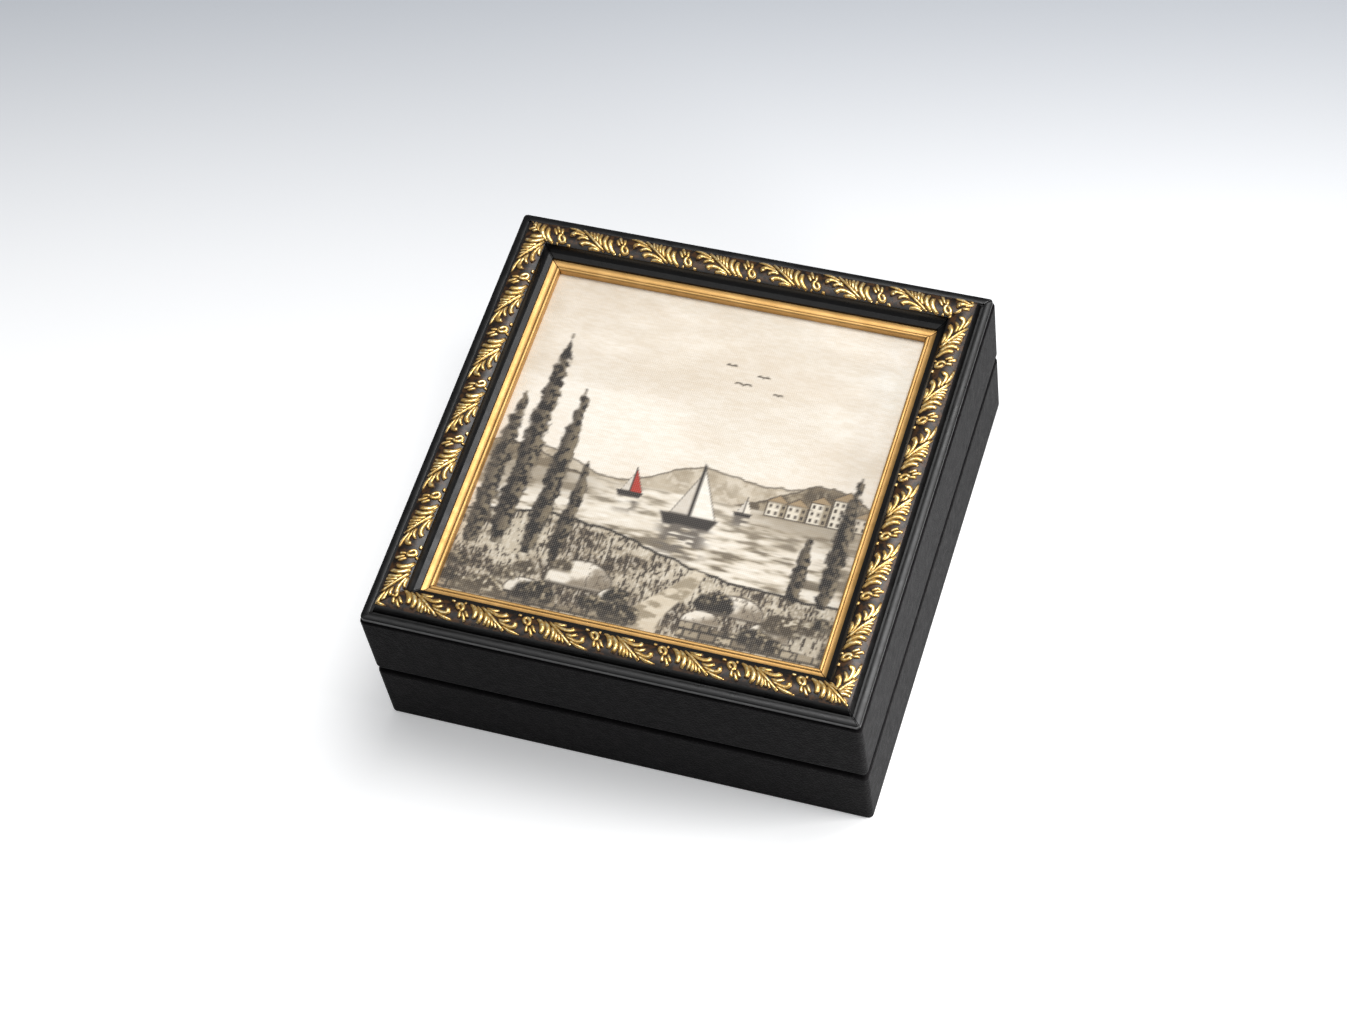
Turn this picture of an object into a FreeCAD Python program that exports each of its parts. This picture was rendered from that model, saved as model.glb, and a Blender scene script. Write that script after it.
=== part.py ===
import FreeCAD, Part
import os
import re
import Sketcher

# A confectionery gift box: a base tray and a hinged lid of wrapped boards.
# The lid carries a mitred picture frame with a gilt slip and a canvas picture.
# Origin: centre of the underside. +X right along the front, +Y to the back, +Z up.

SIZES = (
    ("box_width", 200.0, "outside width, left to right"),
    ("box_depth", 200.0, "outside depth, front to back"),
    ("base_height", 33.9, "underside to the rim of the base"),
    ("rim_gap", 0.8, "air between the closed rims"),
    ("lid_height", 36.3, "lid rim to the top of the lid walls"),
    ("cover", 0.5, "leatherette wrapped over the boards"),
    ("corner_radius", 2.2, "upright corners of base and lid"),
    ("rim_radius", 2.4, "rim edges at the seam"),
    ("foot_radius", 1.0, "edge round the underside"),
    ("shoulder_radius", 1.5, "top edge of the lid walls"),
    ("base_board", 5.0, "board of the base walls"),
    ("lid_board", 4.1, "board of the lid walls"),
    ("felt", 0.8, "felt under the base"),
    ("bottom_board", 3.0, "bottom panel of the base"),
    ("card", 1.0, "lining cards in base and lid"),
    ("glue_gap", 0.1, "room for glue between fitted pieces"),
    ("liner", 2.2, "board of the base liners"),
    ("liner_rise", 5.5, "collar: base liners above the base rim"),
    ("lid_liner", 2.0, "board of the lid liners"),
    ("collar_room", 1.4, "air above the closed collar"),
    ("ceiling_board", 2.5, "panel behind the picture"),
    ("frame_inset", 0.7, "lid wall face to the outer side of the frame"),
    ("frame_corner", 1.8, "round of the frame's outer corners"),
    ("lip_side", 1.7, "height of the frame's outer side"),
    ("lip_width", 3.0, "outer lip of the moulding"),
    ("lip_step", 0.3, "inner edge of the outer lip above its outer edge"),
    ("lip_bulge", 4.0, "radius of the outer lip's round"),
    ("groove_width", 0.9, "groove inside the outer lip"),
    ("groove_depth", 0.6, "depth of that groove"),
    ("flank_width", 0.6, "lower flank beside the groove"),
    ("flank_height", 1.5, "rise of the lower flank"),
    ("shoulder_width", 0.7, "upper flank below the ornament band"),
    ("shoulder_height", 2.4, "rise of the upper flank"),
    ("band_width", 9.2, "domed ground of the ornament"),
    ("band_drop", 0.5, "inner edge of the band below its outer edge"),
    ("band_radius", 11.5, "radius of the domed ground"),
    ("cove_width", 1.8, "cove inside the band"),
    ("cove_drop", 3.3, "depth of the cove"),
    ("cove_radius", 4.0, "radius of the cove"),
    ("sight_lip", 1.9, "sloping lip over the slip"),
    ("sight_drop", 0.9, "fall of that lip"),
    ("sight_edge", 1.2, "thickness of the lip at the slip"),
    ("tongue_depth", 9.0, "frame below the top of the lid walls"),
    ("tongue_gap", 0.2, "room between frame tongue and lid wall"),
    ("rabbet_width", 4.8, "rabbet that takes slip, canvas and board"),
    ("slip_gap", 0.2, "room round the slip in the rabbet"),
    ("slip_side", 3.3, "slip, height at its outer edge"),
    ("slip_show", 4.05, "gilt of the slip inside the black lip"),
    ("slip_bead", 1.7, "width of the bead at the sight edge"),
    ("slip_fall", 0.6, "fall of the slip towards the bead"),
    ("slip_radius", 4.0, "hollow of the slip's face"),
    ("bead_fall", 0.1, "fall across the bead"),
    ("bead_radius", 1.0, "round of the bead"),
    ("canvas", 0.6, "painted canvas"),
    ("picture_board", 3.0, "hardboard behind the canvas"),
    ("point_width", 4.0, "steel points that hold the board"),
    ("point_length", 10.0, "length of a point"),
    ("point_thickness", 0.5, "thickness of a point"),
    ("point_bite", 4.0, "point driven into the rail"),
    ("point_corner", 55.0, "corner of the box to the middle of a point"),
    ("nail_leg", 5.0, "leg of a corner nail"),
    ("nail_thickness", 0.5, "steel of a corner nail"),
    ("nail_height", 6.0, "height of a corner nail"),
    ("nail_inset", 8.2, "corner nail from the frame's outer side"),
    ("magnet_diameter", 2.0, "closure magnets"),
    ("magnet_inset", 3.4, "box face to the middle of a magnet"),
    ("magnet_depth", 3.0, "height of a magnet"),
    ("magnet_corner", 55.0, "side of the box to the middle of a magnet"),
    ("magnet_gap", 0.05, "room round a magnet"),
    ("hinge_inset", 45.0, "side of the box to the middle of a hinge"),
    ("hinge_length", 30.0, "length of a hinge"),
    ("leaf_thickness", 0.8, "brass of the leaves"),
    ("leaf_height", 11.0, "hinge axis to the end of a leaf"),
    ("knuckle_diameter", 3.2, "outside of the knuckles"),
    ("knuckle_length", 11.0, "middle knuckle, on the lid"),
    ("knuckle_gap", 0.1, "air between knuckles"),
    ("leaf_gap", 0.15, "air between a leaf and the other's knuckle"),
    ("pin_diameter", 1.6, "hinge pin"),
    ("pin_gap", 0.04, "radial room of the pin in the lid's knuckle"),
    ("pin_head", 0.6, "head of the pin beyond the knuckle"),
    ("pin_head_diameter", 2.4, "head of the pin"),
    ("screw_diameter", 1.6, "hinge screws"),
    ("screw_head", 3.0, "countersunk head of a hinge screw"),
    ("screw_length", 4.6, "screw from the leaf's face"),
    ("screw_spacing", 18.0, "between the screws of a leaf"),
    ("screw_drop", 6.6, "hinge axis to the screws"),
    ("screw_gap", 0.05, "room round a screw"),
    ("slot_width", 0.4, "slot in a screw's head"),
    ("slot_depth", 0.4, "depth of that slot"),
)
VALUES = {name: number for name, number, note in SIZES}
SAME_PLACE = 1e-6  # two points closer than this are one

doc = FreeCAD.newDocument("confectionery_box")
sheet = doc.addObject("Spreadsheet::Sheet", "Sizes")
for row, (name, number, note) in enumerate(SIZES, start=1):
    sheet.set("A%d" % row, name)
    sheet.set("B%d" % row, str(number))
    sheet.setAlias("B%d" % row, name)
    sheet.set("C%d" % row, note)
doc.recompute()

# places worked out from the sizes
LID_FOOT = "(base_height + rim_gap)"
LID_TOP = "(base_height + rim_gap + lid_height)"
BASE_WALL = "(cover + base_board)"
LID_WALL = "(cover + lid_board)"
FLOOR = "(felt + bottom_board)"
COLLAR_TOP = "(base_height + liner_rise)"
TONGUE_FOOT = "(%s - tongue_depth)" % LID_TOP
CEILING = "(%s - glue_gap - ceiling_board)" % TONGUE_FOOT
TONGUE_INSET = "(cover + lid_board + tongue_gap)"
FRAME_WIDTH = ("lip_width + groove_width + flank_width + shoulder_width"
               " + band_width + cove_width + sight_lip")
RABBET_TOP = ("(%s + lip_side + lip_step - groove_depth + flank_height + shoulder_height"
              " - band_drop - cove_drop - sight_drop - sight_edge)" % LID_TOP)
RABBET_INSET = "(frame_inset + %s - rabbet_width)" % FRAME_WIDTH
SLIP_INSET = "(%s + slip_gap)" % RABBET_INSET
SLIP_WIDTH = "(rabbet_width - slip_gap + slip_show)"
SLIP_FOOT = "(%s - glue_gap - slip_side)" % RABBET_TOP
BOARD_TOP = "(%s - canvas)" % SLIP_FOOT
BOARD_FOOT = "(%s - picture_board)" % BOARD_TOP
AXIS_Y = "(box_depth / 2 + knuckle_diameter / 2)"
AXIS_Z = "(base_height + rim_gap / 2)"

# side: turn about +Z, the size along it, the size across it, outward direction
SIDES = {
    "front": (0, "box_width", "box_depth", (0, -1)),
    "right": (90, "box_depth", "box_width", (1, 0)),
    "back": (180, "box_width", "box_depth", (0, 1)),
    "left": (270, "box_depth", "box_width", (-1, 0)),
}
UP = FreeCAD.Vector(0, 0, 1)
ALONG_Y = FreeCAD.Rotation(FreeCAD.Vector(1, 0, 0), -90)
ALONG_X = FreeCAD.Rotation(FreeCAD.Vector(0, 1, 0), 90)
nodes = []


def rule(text):
    """A formula in the words of the sheet, as an expression."""
    return re.sub(r"\b[a-z][a-z_]+\b", lambda word: "Sizes." + word.group(), text)


def bind(thing, **formulas):
    for prop, text in formulas.items():
        thing.setExpression(prop, rule(text))


def stand(thing, x="0", y="0", z="0", turn=None):
    """Place a thing, with its place bound to the sheet."""
    if turn is not None:
        thing.Placement = FreeCAD.Placement(FreeCAD.Vector(), turn)
    for axis, text in zip("xyz", (x, y, z)):
        thing.setExpression("Placement.Base." + axis, rule(text))
    return thing


def stand_at(thing, side, inset, z):
    """Place a thing drawn with X along a side and Y inwards on that side."""
    angle, along, across, (out_x, out_y) = SIDES[side]
    reach = "(%s / 2 - %s)" % (across, inset)
    return stand(thing, "%d * %s" % (out_x, reach), "%d * %s" % (out_y, reach), z,
                 FreeCAD.Rotation(UP, angle))


def node(thing, label):
    """A finished piece, which is written out under this name."""
    thing.Label = label
    nodes.append(thing)
    return thing


def block(name, size, corner):
    box = doc.addObject("Part::Box", name)
    bind(box, Length=size[0], Width=size[1], Height=size[2])
    return stand(box, *corner)


def plate(name, inset, z, thickness):
    """A flat block, centred, the same distance inside the box all round."""
    return block(name, ("box_width - 2 * %s" % inset, "box_depth - 2 * %s" % inset, thickness),
                 ("%s - box_width / 2" % inset, "%s - box_depth / 2" % inset, z))


def rod(name, diameter, length, x, y, z, turn=None):
    cylinder = doc.addObject("Part::Cylinder", name)
    bind(cylinder, Radius="(%s) / 2" % diameter, Height=length)
    return stand(cylinder, x, y, z, turn)


def cut(name, base, *tools):
    """The base without the tools."""
    result = doc.addObject("Part::Cut", name)
    result.Base = base
    result.Tool = tools[0] if len(tools) == 1 else fuse(name + "_tools", *tools)
    return result


def fuse(name, *things):
    result = doc.addObject("Part::MultiFuse", name)
    result.Shapes = list(things)
    return result


def common(name, *things):
    result = doc.addObject("Part::MultiCommon", name)
    result.Shapes = list(things)
    return result


def group(name, things):
    """Separate solids that share one node."""
    result = doc.addObject("Part::Compound", name)
    result.Links = list(things)
    return result


def mitred(name, side, inset, thickness, z, height):
    """A board along one side, its ends cut at 45 degrees."""
    wedge = doc.addObject("Part::Wedge", name)
    half = "(%s / 2 - %s)" % (SIDES[side][1], inset)
    thickness = "(%s)" % thickness
    bind(wedge, Xmin="-" + half, Xmax=half, X2min="%s - %s" % (thickness, half),
         X2max="%s - %s" % (half, thickness), Ymin="0", Ymax=thickness,
         Zmin="0", Z2min="0", Zmax=height, Z2max=height)
    return stand_at(wedge, side, inset, z)


def rounded(name, inset, z, height, corner, top, foot):
    """A block with rounded uprights, top edges and bottom edges."""
    body = doc.addObject("PartDesign::Body", name)
    stand(body, "%s - box_width / 2" % inset, "%s - box_depth / 2" % inset, z)
    solid = body.newObject("PartDesign::AdditiveBox", name + "_block")
    bind(solid, Length="box_width - 2 * %s" % inset, Width="box_depth - 2 * %s" % inset,
         Height=height)
    doc.recompute()
    tall = solid.Height.Value
    rounds = (("uprights", corner, lambda low, high: high - low > 0.99 * tall),
              ("top", top, lambda low, high: low > 0.99 * tall),
              ("foot", foot, lambda low, high: high < 0.01 * tall))
    for word, radius, chosen in rounds:
        edges = ["Edge%d" % number for number, edge in enumerate(solid.Shape.Edges, start=1)
                 if chosen(edge.BoundBox.ZMin, edge.BoundBox.ZMax)]
        fillet = body.newObject("PartDesign::Fillet", "%s_%s" % (name, word))
        fillet.Base = (solid, edges)
        bind(fillet, Radius=radius)
        doc.recompute()
        solid = fillet
    return body


def total(*names):
    """The sum of some sizes, as a number and as a formula; a leading minus takes one away."""
    number = 0.0
    formula = "0"
    for name in names:
        word = name.lstrip("-")
        sign = -1 if name.startswith("-") else 1
        number += sign * VALUES[word]
        formula += " %s %s" % ("-" if sign < 0 else "+", word)
    return number, formula


def arc_between(start, end, radius, hollow):
    """The short arc between two points of a profile; it bows up unless it is hollow."""
    chord = end - start
    across = FreeCAD.Vector(-chord.y, chord.x, 0).normalize()
    if (across.y > 0) == hollow:
        across = across * -1
    rise = radius - (radius ** 2 - chord.Length ** 2 / 4) ** 0.5
    return Part.Arc(start, start + chord * 0.5 + across * rise, end)


def moulding(name, outline, length):
    """A closed profile, X inwards and Y upwards, pushed along a rail.

    Each outline entry is a corner (X names, Y names) and the edge that leaves it:
    None for a straight edge, or (radius name, hollow) for an arc.
    """
    body = doc.addObject("PartDesign::Body", name)
    sketch = body.newObject("Sketcher::SketchObject", name + "_profile")
    plane = [item for item in body.Origin.OriginFeatures if item.Role == "YZ_Plane"][0]
    sketch.AttachmentSupport = [(plane, "")]
    sketch.MapMode = "FlatFace"
    corners = [(total(*x), total(*y), edge) for x, y, edge in outline]
    points = [FreeCAD.Vector(x[0], y[0], 0) for x, y, edge in corners]
    for number, (x, y, edge) in enumerate(corners):
        start, end = points[number], points[(number + 1) % len(points)]
        if edge is None:
            sketch.addGeometry(Part.LineSegment(start, end), False)
        else:
            sketch.addGeometry(arc_between(start, end, VALUES[edge[0]], edge[1]), False)
    # an arc is kept anticlockwise, so its ends may come out swapped
    ends = []
    for number, start in enumerate(points):
        swapped = (sketch.getPoint(number, 1) - start).Length > SAME_PLACE
        ends.append((2, 1) if swapped else (1, 2))
    for number, (x, y, edge) in enumerate(corners):
        after = (number + 1) % len(corners)
        sketch.addConstraint(Sketcher.Constraint("Coincident", number, ends[number][1],
                                                 after, ends[after][0]))
        for kind, (place, formula) in (("DistanceX", x), ("DistanceY", y)):
            item = sketch.addConstraint(Sketcher.Constraint(
                kind, -1, 1, number, ends[number][0], place))
            sketch.setExpression("Constraints[%d]" % item, rule(formula))
        if edge is not None:
            item = sketch.addConstraint(Sketcher.Constraint("Radius", number, VALUES[edge[0]]))
            sketch.setExpression("Constraints[%d]" % item, rule(edge[0]))
    pad = body.newObject("PartDesign::Pad", name + "_length")
    pad.Profile = sketch
    pad.Midplane = True
    bind(pad, Length=length)
    return body


# ---- base: boards in one wrap, a bottom panel, felt, and liners that make a collar

base_core = rounded("base_core", "cover", "cover", "base_height - 2 * cover",
                    "corner_radius - cover", "rim_radius - cover", "foot_radius - cover")
base_shell = rounded("base_shell", "0", "0", "base_height",
                     "corner_radius", "rim_radius", "foot_radius")
lid_core = rounded("lid_core", "cover", LID_FOOT + " + cover", "lid_height - 2 * cover",
                   "corner_radius - cover", "shoulder_radius - cover", "rim_radius - cover")
lid_shell = rounded("lid_shell", "0", LID_FOOT, "lid_height",
                    "corner_radius", "shoulder_radius", "rim_radius")

HINGES = (("left", -1), ("right", 1))
HINGE_X = "(%d * (box_width / 2 - hinge_inset))"
SCREWS = [(sign, end) for side, sign in HINGES for end in (-1, 1)]


def screws(part, up, spread):
    """The four screws of one part, or their holes when they are spread."""
    made = []
    for number, (sign, end) in enumerate(SCREWS, start=1):
        word = "%s_%s_%d" % (part, "hole" if spread != "0" else "screw", number)
        x = (HINGE_X + " + %d * screw_spacing / 2") % (sign, end)
        z = "%s + %d * screw_drop" % (AXIS_Z, up)
        face = "box_depth / 2 + leaf_thickness"
        shank = rod(word + "_shank", "screw_diameter + 2 * %s" % spread,
                    "screw_length + %s" % spread, x,
                    "%s - screw_length - %s" % (face, spread), z, ALONG_Y)
        head = doc.addObject("Part::Cone", word + "_head")
        bind(head, Radius1="screw_diameter / 2 + %s" % spread,
             Radius2="screw_head / 2 + %s" % spread, Height="leaf_thickness")
        stand(head, x, "box_depth / 2", z, ALONG_Y)
        screw = fuse(word, shank, head)
        if spread == "0":
            slot = block(word + "_slot", ("slot_width", "slot_depth", "screw_head"),
                         (x + " - slot_width / 2", face + " - slot_depth",
                          z + " - screw_head / 2"))
            screw = cut(word + "_slotted", screw, slot)
        made.append(screw)
    return made


base_screw_holes = screws("base", -1, "screw_gap")
lid_screw_holes = screws("lid", 1, "screw_gap")


def magnets(part, spread):
    """Two magnets in the front rim, or their pockets when they are spread."""
    made = []
    for number, sign in enumerate((-1, 1), start=1):
        z = "base_height - cover - magnet_depth - %s" % spread
        if part == "lid":
            z = LID_FOOT + " + cover"
        made.append(rod("%s_%s_%d" % (part, "pocket" if spread != "0" else "magnet", number),
                        "magnet_diameter + 2 * %s" % spread, "magnet_depth + %s" % spread,
                        "%d * (box_width / 2 - magnet_corner)" % sign,
                        "(magnet_inset - box_depth / 2)", z))
    return made


def walls(part, core, foot, height, holes):
    """The four wall boards inside a wrap; the back one is drilled, the front one pocketed."""
    for side in SIDES:
        name = "%s_%s_board" % (part, side)
        blank = mitred(name + "_blank", side, "0", "cover + %s_board" % part, foot, height)
        board = common(name + "_raw", blank, core)
        if side == "back":
            board = cut(name + "_drilled", board, *holes)
        if side == "front":
            board = cut(name + "_pocketed", board, *magnets(part, "magnet_gap"))
        node(board, name)


base_hollow = plate("base_hollow", BASE_WALL, "-cover", "base_height + 2 * cover")
lid_hollow = plate("lid_hollow", LID_WALL, LID_FOOT + " - cover", "lid_height + 2 * cover")
node(cut("base_wrap", base_shell, base_core, base_hollow, *screws("base_wrap", -1, "screw_gap")),
     "base_cover")
walls("base", base_core, "0", "base_height", base_screw_holes)
node(plate("bottom_felt", "(%s + glue_gap)" % BASE_WALL, "0", "felt"), "base_bottom_felt")
node(plate("bottom_panel", "(%s + glue_gap)" % BASE_WALL, "felt", "bottom_board"),
     "base_bottom_panel")
LINER_INSET = "(%s + glue_gap)" % BASE_WALL
for side in SIDES:
    node(mitred("base_liner_" + side, side, LINER_INSET, "liner", FLOOR,
                "%s - %s" % (COLLAR_TOP, FLOOR)), "base_%s_liner" % side)
node(plate("floor_card", "(%s + liner + glue_gap)" % LINER_INSET, FLOOR, "card"),
     "base_floor_card")
node(group("base_magnets", magnets("base", "0")), "base_magnets")

# ---- lid: boards in one wrap, liners, and a ceiling under the picture

node(cut("lid_wrap", lid_shell, lid_core, lid_hollow, *screws("lid_wrap", 1, "screw_gap")),
     "lid_cover")
walls("lid", lid_core, LID_FOOT, "lid_height", lid_screw_holes)
LID_LINER_INSET = "(%s + glue_gap)" % LID_WALL
LID_LINER_FOOT = "(%s + collar_room)" % COLLAR_TOP
for side in SIDES:
    node(mitred("lid_liner_" + side, side, LID_LINER_INSET, "lid_liner", LID_LINER_FOOT,
                "%s - %s" % (CEILING, LID_LINER_FOOT)), "lid_%s_liner" % side)
node(plate("ceiling_panel", LID_LINER_INSET, CEILING, "ceiling_board"), "lid_ceiling_panel")
node(plate("ceiling_card", "(%s + lid_liner + glue_gap)" % LID_LINER_INSET,
           "%s - card" % CEILING, "card"), "lid_ceiling_card")
node(group("lid_magnets", magnets("lid", "0")), "lid_magnets")

# ---- frame: one moulding for the four rails, one for the gilt slips

LIP = ("lip_width",)
GROOVE = LIP + ("groove_width",)
FLANK = GROOVE + ("flank_width",)
BAND = FLANK + ("shoulder_width",)
COVE = BAND + ("band_width",)
SIGHT = COVE + ("cove_width",)
EDGE = SIGHT + ("sight_lip",)
LIP_TOP = ("lip_side", "lip_step")
GROOVE_TOP = LIP_TOP + ("-groove_depth",)
FLANK_TOP = GROOVE_TOP + ("flank_height",)
BAND_TOP = FLANK_TOP + ("shoulder_height",)
COVE_TOP = BAND_TOP + ("-band_drop",)
SIGHT_TOP = COVE_TOP + ("-cove_drop",)
EDGE_TOP = SIGHT_TOP + ("-sight_drop",)
EDGE_FOOT = EDGE_TOP + ("-sight_edge",)
RABBET = EDGE + ("-rabbet_width",)
TONGUE = ("cover", "lid_board", "tongue_gap", "-frame_inset")
rail_outline = (
    ((), (), None),
    ((), ("lip_side",), ("lip_bulge", False)),
    (LIP, LIP_TOP, None),
    (LIP, GROOVE_TOP, None),
    (GROOVE, GROOVE_TOP, None),
    (FLANK, FLANK_TOP, None),
    (BAND, BAND_TOP, ("band_radius", False)),
    (COVE, COVE_TOP, ("cove_radius", True)),
    (SIGHT, SIGHT_TOP, None),
    (EDGE, EDGE_TOP, None),
    (EDGE, EDGE_FOOT, None),
    (RABBET, EDGE_FOOT, None),
    (RABBET, ("-tongue_depth",), None),
    (TONGUE, ("-tongue_depth",), None),
    (TONGUE, (), None),
)
FACE = ("rabbet_width", "-slip_gap")
BEAD = FACE + ("slip_show", "-slip_bead")
SLIP_EDGE = FACE + ("slip_show",)
slip_outline = (
    ((), (), None),
    ((), ("slip_side",), None),
    (FACE, ("slip_side",), ("slip_radius", True)),
    (BEAD, ("slip_side", "-slip_fall"), ("bead_radius", False)),
    (SLIP_EDGE, ("slip_side", "-slip_fall", "-bead_fall"), None),
    (SLIP_EDGE, (), None),
)

corner_nails = []
for number, (sign_x, sign_y) in enumerate(((-1, -1), (1, -1), (1, 1), (-1, 1)), start=1):
    word = "corner_nail_%d" % number
    legs = []
    for leg, size in (("along", ("nail_leg", "nail_thickness")),
                      ("across", ("nail_thickness", "nail_leg"))):
        apex_x = "%d * (box_width / 2 - frame_inset - nail_inset)" % sign_x
        apex_y = "%d * (box_depth / 2 - frame_inset - nail_inset)" % sign_y
        x = apex_x + (" - %s" % size[0] if sign_x > 0 else "")
        y = apex_y + (" - %s" % size[1] if sign_y > 0 else "")
        legs.append(block("%s_%s" % (word, leg), size + ("nail_height",), (x, y, TONGUE_FOOT)))
    corner_nails.append(fuse(word, *legs))

frame_outline = rounded("frame_outline", "frame_inset", TONGUE_FOOT + " - cover", "lid_height",
                        "frame_corner", "shoulder_radius", "foot_radius")
points = []
for side in SIDES:
    along = SIDES[side][1]
    profile = moulding("rail_profile_" + side, rail_outline, along + " + 2 * cover")
    stand_at(profile, side, "frame_inset", LID_TOP)
    mitre = mitred("rail_mitre_" + side, side, "frame_inset", FRAME_WIDTH,
                   TONGUE_FOOT + " - cover", "lid_height")
    side_points = []
    for number, sign in enumerate((-1, 1), start=1):
        point = doc.addObject("Part::Wedge", "point_%s_%d" % (side, number))
        middle = "%d * (%s / 2 - point_corner)" % (sign, along)
        bind(point, Xmin="%s - point_width / 2" % middle, Xmax="%s + point_width / 2" % middle,
             X2min="%s - point_width / 2" % middle, X2max="%s + point_width / 2" % middle,
             Ymin="0", Ymax="point_length", Zmin="0", Z2min="0",
             Zmax="point_thickness", Z2max="point_thickness")
        stand_at(point, side, "(%s - point_bite)" % RABBET_INSET, BOARD_FOOT + " - point_thickness")
        side_points.append(point)
    points.extend(side_points)
    mitred_rail = common("rail_mitred_" + side, profile, mitre)
    rail = common("rail_raw_" + side, mitred_rail, frame_outline)
    node(cut("rail_" + side, rail, *(side_points + corner_nails)), "frame_%s_rail" % side)
    slip_profile = moulding("slip_profile_" + side, slip_outline, along)
    stand_at(slip_profile, side, SLIP_INSET, SLIP_FOOT)
    slip_mitre = mitred("slip_mitre_" + side, side, SLIP_INSET, SLIP_WIDTH,
                        SLIP_FOOT + " - cover", "slip_side + 2 * cover")
    node(common("slip_" + side, slip_profile, slip_mitre), "gilt_%s_slip" % side)
node(group("board_points", points), "board_points")
node(group("frame_corner_nails", corner_nails), "frame_corner_nails")
node(plate("painted_canvas", SLIP_INSET, BOARD_TOP, "canvas"), "picture_canvas")
node(plate("backing_board", SLIP_INSET, BOARD_FOOT, "picture_board"), "picture_board")

# ---- hinges: two brass butt hinges on the back faces

LEAF_Y = "box_depth / 2"


def leaf(side, sign, part, up):
    """A leaf with its knuckles, each joined to the plate by a short tongue."""
    word = "%s_%s_leaf" % (side, part)
    centre = HINGE_X % sign
    start = "%s - hinge_length / 2" % centre
    clear = "(knuckle_diameter / 2 + leaf_gap)"
    low = AXIS_Z + (" - leaf_height" if up < 0 else " + %s" % clear)
    flat = block(word + "_flat", ("hinge_length", "leaf_thickness", "leaf_height - %s" % clear),
                 (start, LEAF_Y, low))
    side_length = "((hinge_length - knuckle_length) / 2 - knuckle_gap)"
    if part == "lid":
        spans = [("knuckle_length", "%s - knuckle_length / 2" % centre)]
    else:
        spans = [(side_length, start),
                 (side_length, "%s + knuckle_length / 2 + knuckle_gap" % centre)]
    pieces = [flat]
    for number, (length, x) in enumerate(spans, start=1):
        foot = AXIS_Z + (" - %s" % clear if up < 0 else "")
        pieces.append(block("%s_tongue_%d" % (word, number), (length, "leaf_thickness", clear),
                            (x, LEAF_Y, foot)))
        pieces.append(rod("%s_knuckle_%d" % (word, number), "knuckle_diameter", length, x,
                          AXIS_Y, AXIS_Z, ALONG_X))
    bore = "pin_diameter" + (" + 2 * pin_gap" if part == "lid" else "")
    hole = rod(word + "_bore", bore, "hinge_length + 2 * leaf_thickness",
               start + " - leaf_thickness", AXIS_Y, AXIS_Z, ALONG_X)
    holes = screws(word, up, "screw_gap")
    node(cut(word + "_cut", fuse(word + "_blank", *pieces), hole, *holes),
         "hinge_%s_%s_leaf" % (side, part))


for side, sign in HINGES:
    leaf(side, sign, "base", -1)
    leaf(side, sign, "lid", 1)
    start = HINGE_X % sign + " - hinge_length / 2"
    shank = rod("pin_shank_" + side, "pin_diameter", "hinge_length", start, AXIS_Y, AXIS_Z, ALONG_X)
    heads = [rod("pin_head_%s_%s" % (side, word), "pin_head_diameter", "pin_head", x,
                 AXIS_Y, AXIS_Z, ALONG_X)
             for word, x in (("a", start + " - pin_head"), ("b", start + " + hinge_length"))]
    node(fuse("pin_" + side, shank, *heads), "hinge_%s_pin" % side)
node(group("base_hinge_screws", screws("base_fixing", -1, "0")), "hinge_base_screws")
node(group("lid_hinge_screws", screws("lid_fixing", 1, "0")), "hinge_lid_screws")

# ---- check every object, then write each piece

doc.recompute()
for item in doc.Objects:
    if "Invalid" in item.State or "Error" in item.State:
        raise RuntimeError("%s failed: %s" % (item.Label, item.State))
os.makedirs("parts", exist_ok=True)
for piece in nodes:
    shape = piece.Shape
    if shape.isNull() or not shape.isValid() or not shape.Solids:
        raise RuntimeError("%s has no valid solid" % piece.Label)
for piece in nodes:
    piece.Shape.exportStep("parts/%s.step" % piece.Label)
print("%d pieces written" % len(nodes))
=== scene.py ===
"""Dresses a square sweet box whose lid is a gilded picture frame."""

import math

import bmesh
import bpy
import numpy
from mathutils import Matrix, Quaternion, Vector


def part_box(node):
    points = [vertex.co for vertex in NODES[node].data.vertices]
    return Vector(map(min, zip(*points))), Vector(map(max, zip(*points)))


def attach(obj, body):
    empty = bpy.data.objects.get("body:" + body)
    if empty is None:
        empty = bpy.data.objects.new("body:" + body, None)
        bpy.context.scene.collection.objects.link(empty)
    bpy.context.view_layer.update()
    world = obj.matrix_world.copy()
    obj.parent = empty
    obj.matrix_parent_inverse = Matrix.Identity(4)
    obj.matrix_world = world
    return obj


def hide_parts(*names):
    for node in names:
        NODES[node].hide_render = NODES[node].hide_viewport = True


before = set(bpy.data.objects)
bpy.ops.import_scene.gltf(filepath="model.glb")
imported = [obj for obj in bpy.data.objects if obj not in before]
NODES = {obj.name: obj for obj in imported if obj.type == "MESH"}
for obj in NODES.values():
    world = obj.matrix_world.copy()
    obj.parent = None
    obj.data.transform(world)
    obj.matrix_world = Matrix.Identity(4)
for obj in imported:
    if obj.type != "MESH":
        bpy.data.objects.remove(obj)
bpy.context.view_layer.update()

bl_info = {
    "name": "Sweet box with a picture lid",
    "version": (1, 0, 0),
    "blender": (4, 5, 0),
    "location": "View3D > Sidebar > Sweet Box",
    "description": "Finishes, carved ornament, painted canvas and studio for a sweet box",
    "category": "Object",
}

MM = 0.001
WAVE_TURN = 20  # radians that a wave texture goes through in one unit
SIDES = ("front", "right", "back", "left")  # each a quarter turn after the last


# ---------------------------------------------------------------- small tools


def srgb(colour):
    """An sRGB hex value as three numbers from 0 to 1."""
    return numpy.array([int(colour[i : i + 2], 16) / 255 for i in (1, 3, 5)])


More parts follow.
